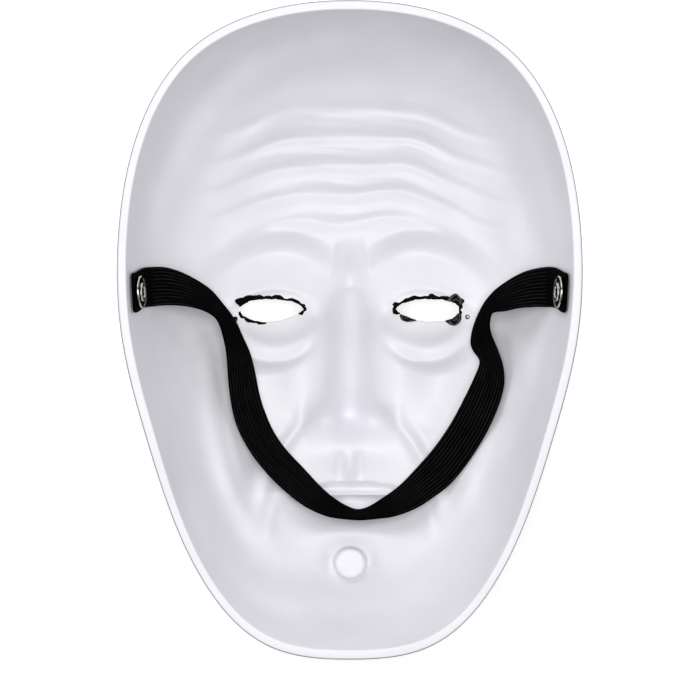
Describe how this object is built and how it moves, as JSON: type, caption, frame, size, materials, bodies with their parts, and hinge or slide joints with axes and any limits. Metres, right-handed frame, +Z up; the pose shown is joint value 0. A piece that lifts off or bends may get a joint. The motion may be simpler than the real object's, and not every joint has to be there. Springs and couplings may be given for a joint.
{
  "type": "clown mask",
  "caption": "Full-face clown mask of thin moulded white plastic, lying face down, with a flat rim lip, ragged eye slits and a black elastic head strap riveted to its side walls.",
  "frame": {"origin": "middle of the mask's footprint, on the surface it lies on", "axes": "+X to the mask's right and +Y towards its forehead end, both as seen looking down into the open back; +Z straight up. The rim plane leans 12.8 degrees about X, with the forehead end lower"},
  "size_m": [0.1818, 0.2522, 0.1062],
  "materials": {
    "white_plastic": "smooth satin white plastic with a faint lavender tint; white, black and red paint on the face side",
    "black_elastic": "woven ribbed elastic, near black",
    "nickel": "nickel plated, slightly warm, softly polished"
  },
  "bodies": {
    "root": {"mask_shell": "white_plastic", "strap": "black_elastic", "washer_left": "nickel", "rivet_left": "nickel", "washer_right": "nickel", "rivet_right": "nickel"}
  },
  "joints": []
}
